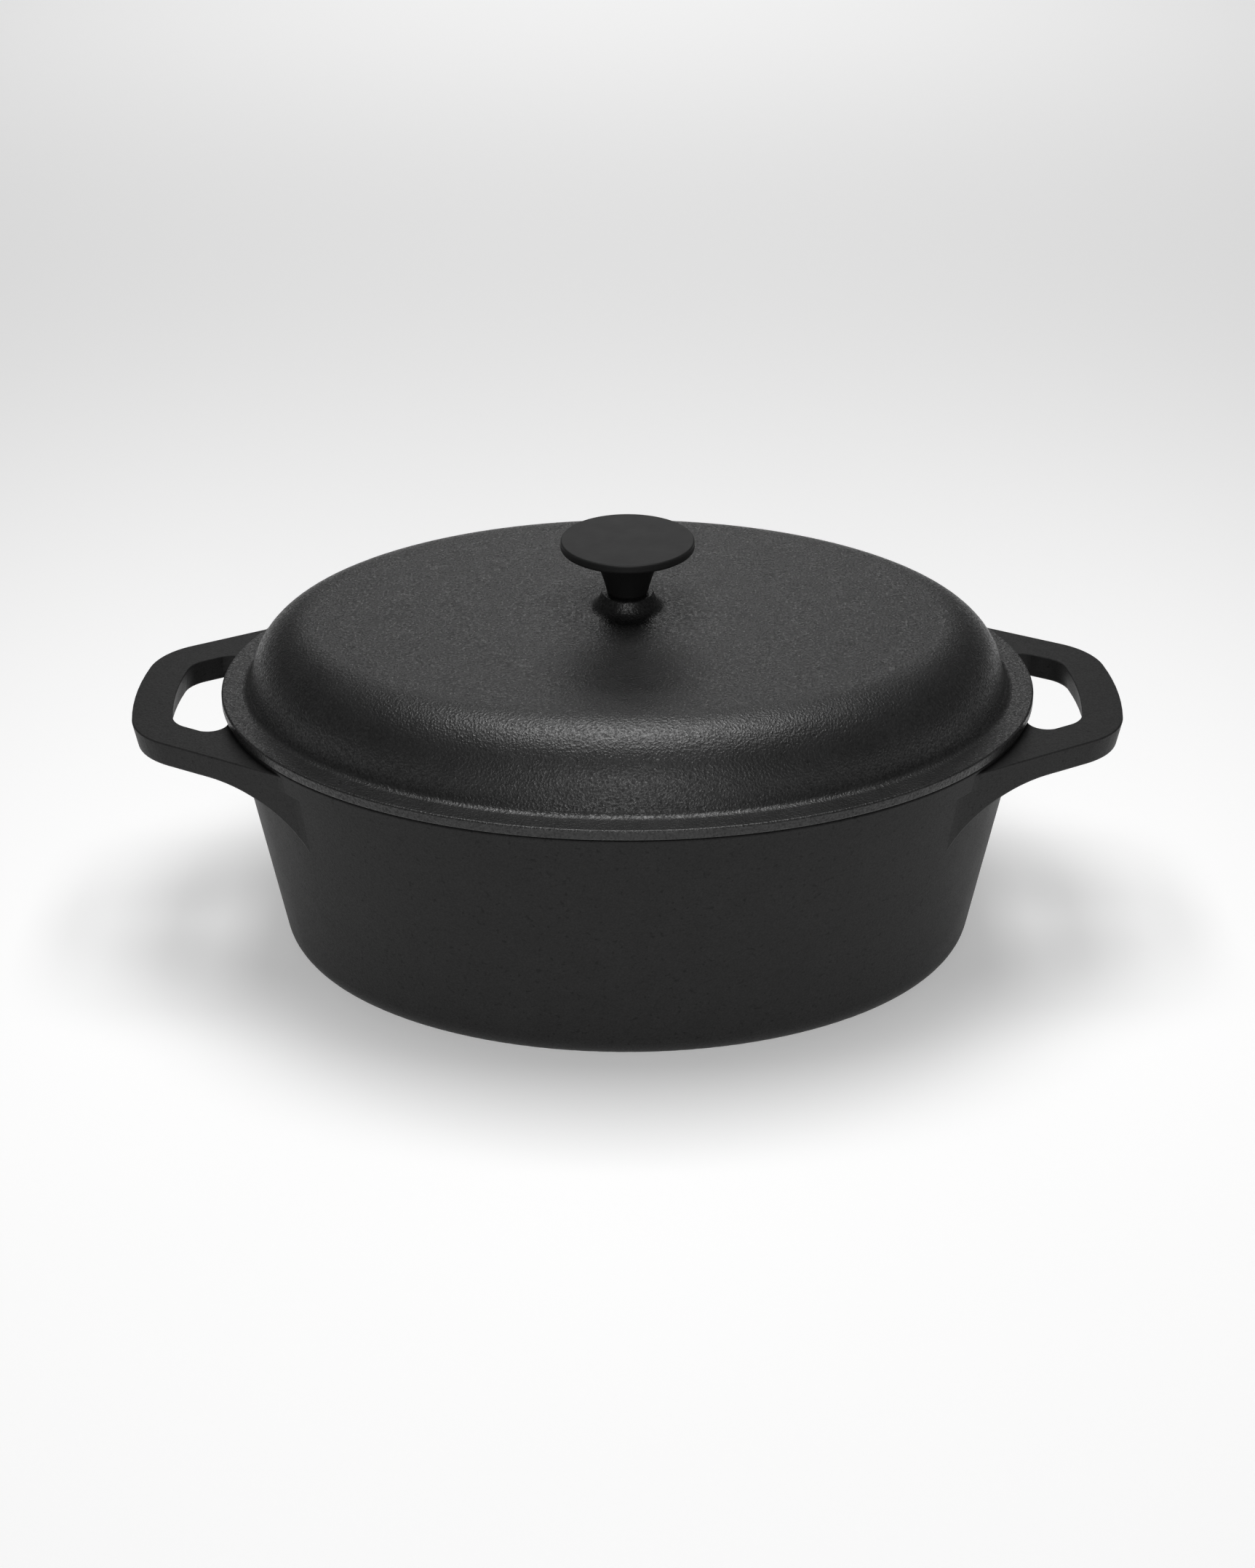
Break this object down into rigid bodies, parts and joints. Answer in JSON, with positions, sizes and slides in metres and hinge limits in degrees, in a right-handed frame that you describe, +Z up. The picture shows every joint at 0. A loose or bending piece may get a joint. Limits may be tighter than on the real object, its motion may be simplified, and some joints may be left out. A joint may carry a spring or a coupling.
{
  "type": "cast iron dutch oven",
  "caption": "Oval cast iron dutch oven with flat loop handles cast on the ends and a domed lift-off lid with a round mushroom knob",
  "frame": {"origin": "middle of the flat base of the pot", "axes": "+Z up, +X along the two loop handles (the long way), +Y across the pot (the short way)"},
  "size_m": [0.3898, 0.25, 0.1732],
  "materials": {
    "pot_enamel": "satin black enamel on cast iron",
    "lid_enamel": "matte black enamel with a fine grain on cast iron",
    "knob_phenolic": "smooth satin black phenolic",
    "insert_brass": "turned brass",
    "screw_steel": "stainless steel"
  },
  "bodies": {
    "pot": {"pot": "pot_enamel"},
    "lid": {"lid": "lid_enamel", "knob": "knob_phenolic", "knob_insert": "insert_brass", "knob_washer": "screw_steel", "knob_screw": "screw_steel"}
  },
  "joints": [
    {"name": "lid_lift", "type": "slide", "parent": "pot", "child": "lid", "axis": [0, 0, 1], "range_m": [0, 0.14]}
  ]
}
